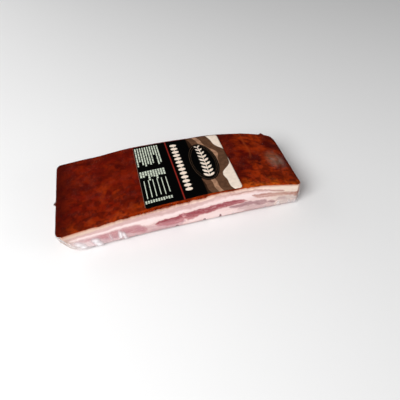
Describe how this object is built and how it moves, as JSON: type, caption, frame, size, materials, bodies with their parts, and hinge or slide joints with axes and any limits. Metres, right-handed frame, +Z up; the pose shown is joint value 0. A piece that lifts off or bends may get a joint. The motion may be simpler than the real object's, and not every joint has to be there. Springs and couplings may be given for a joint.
{
  "type": "pancetta",
  "caption": "Vacuum-packed slab of smoked pancetta, rind up, with a layered cut face, in tight clear film with a printed label across the rind.",
  "frame": {"origin": "middle of the pack's plan, at the height of the surface that it lies on", "axes": "+X along the slab towards its lower, narrower end; -Y is the side of the cut face; +Z up, out of the rind"},
  "size_m": [0.3076, 0.125, 0.0465],
  "materials": {
    "packed_meat": "smoked rind and layered cut meat under tight glossy film",
    "clear_film": "clear shrunk film, glossy, with fine creases",
    "label": "coated printed paper, black with fields of brown and cream"
  },
  "bodies": {
    "root": {"vacuum_pack": "packed_meat", "label": "label"}
  },
  "joints": []
}
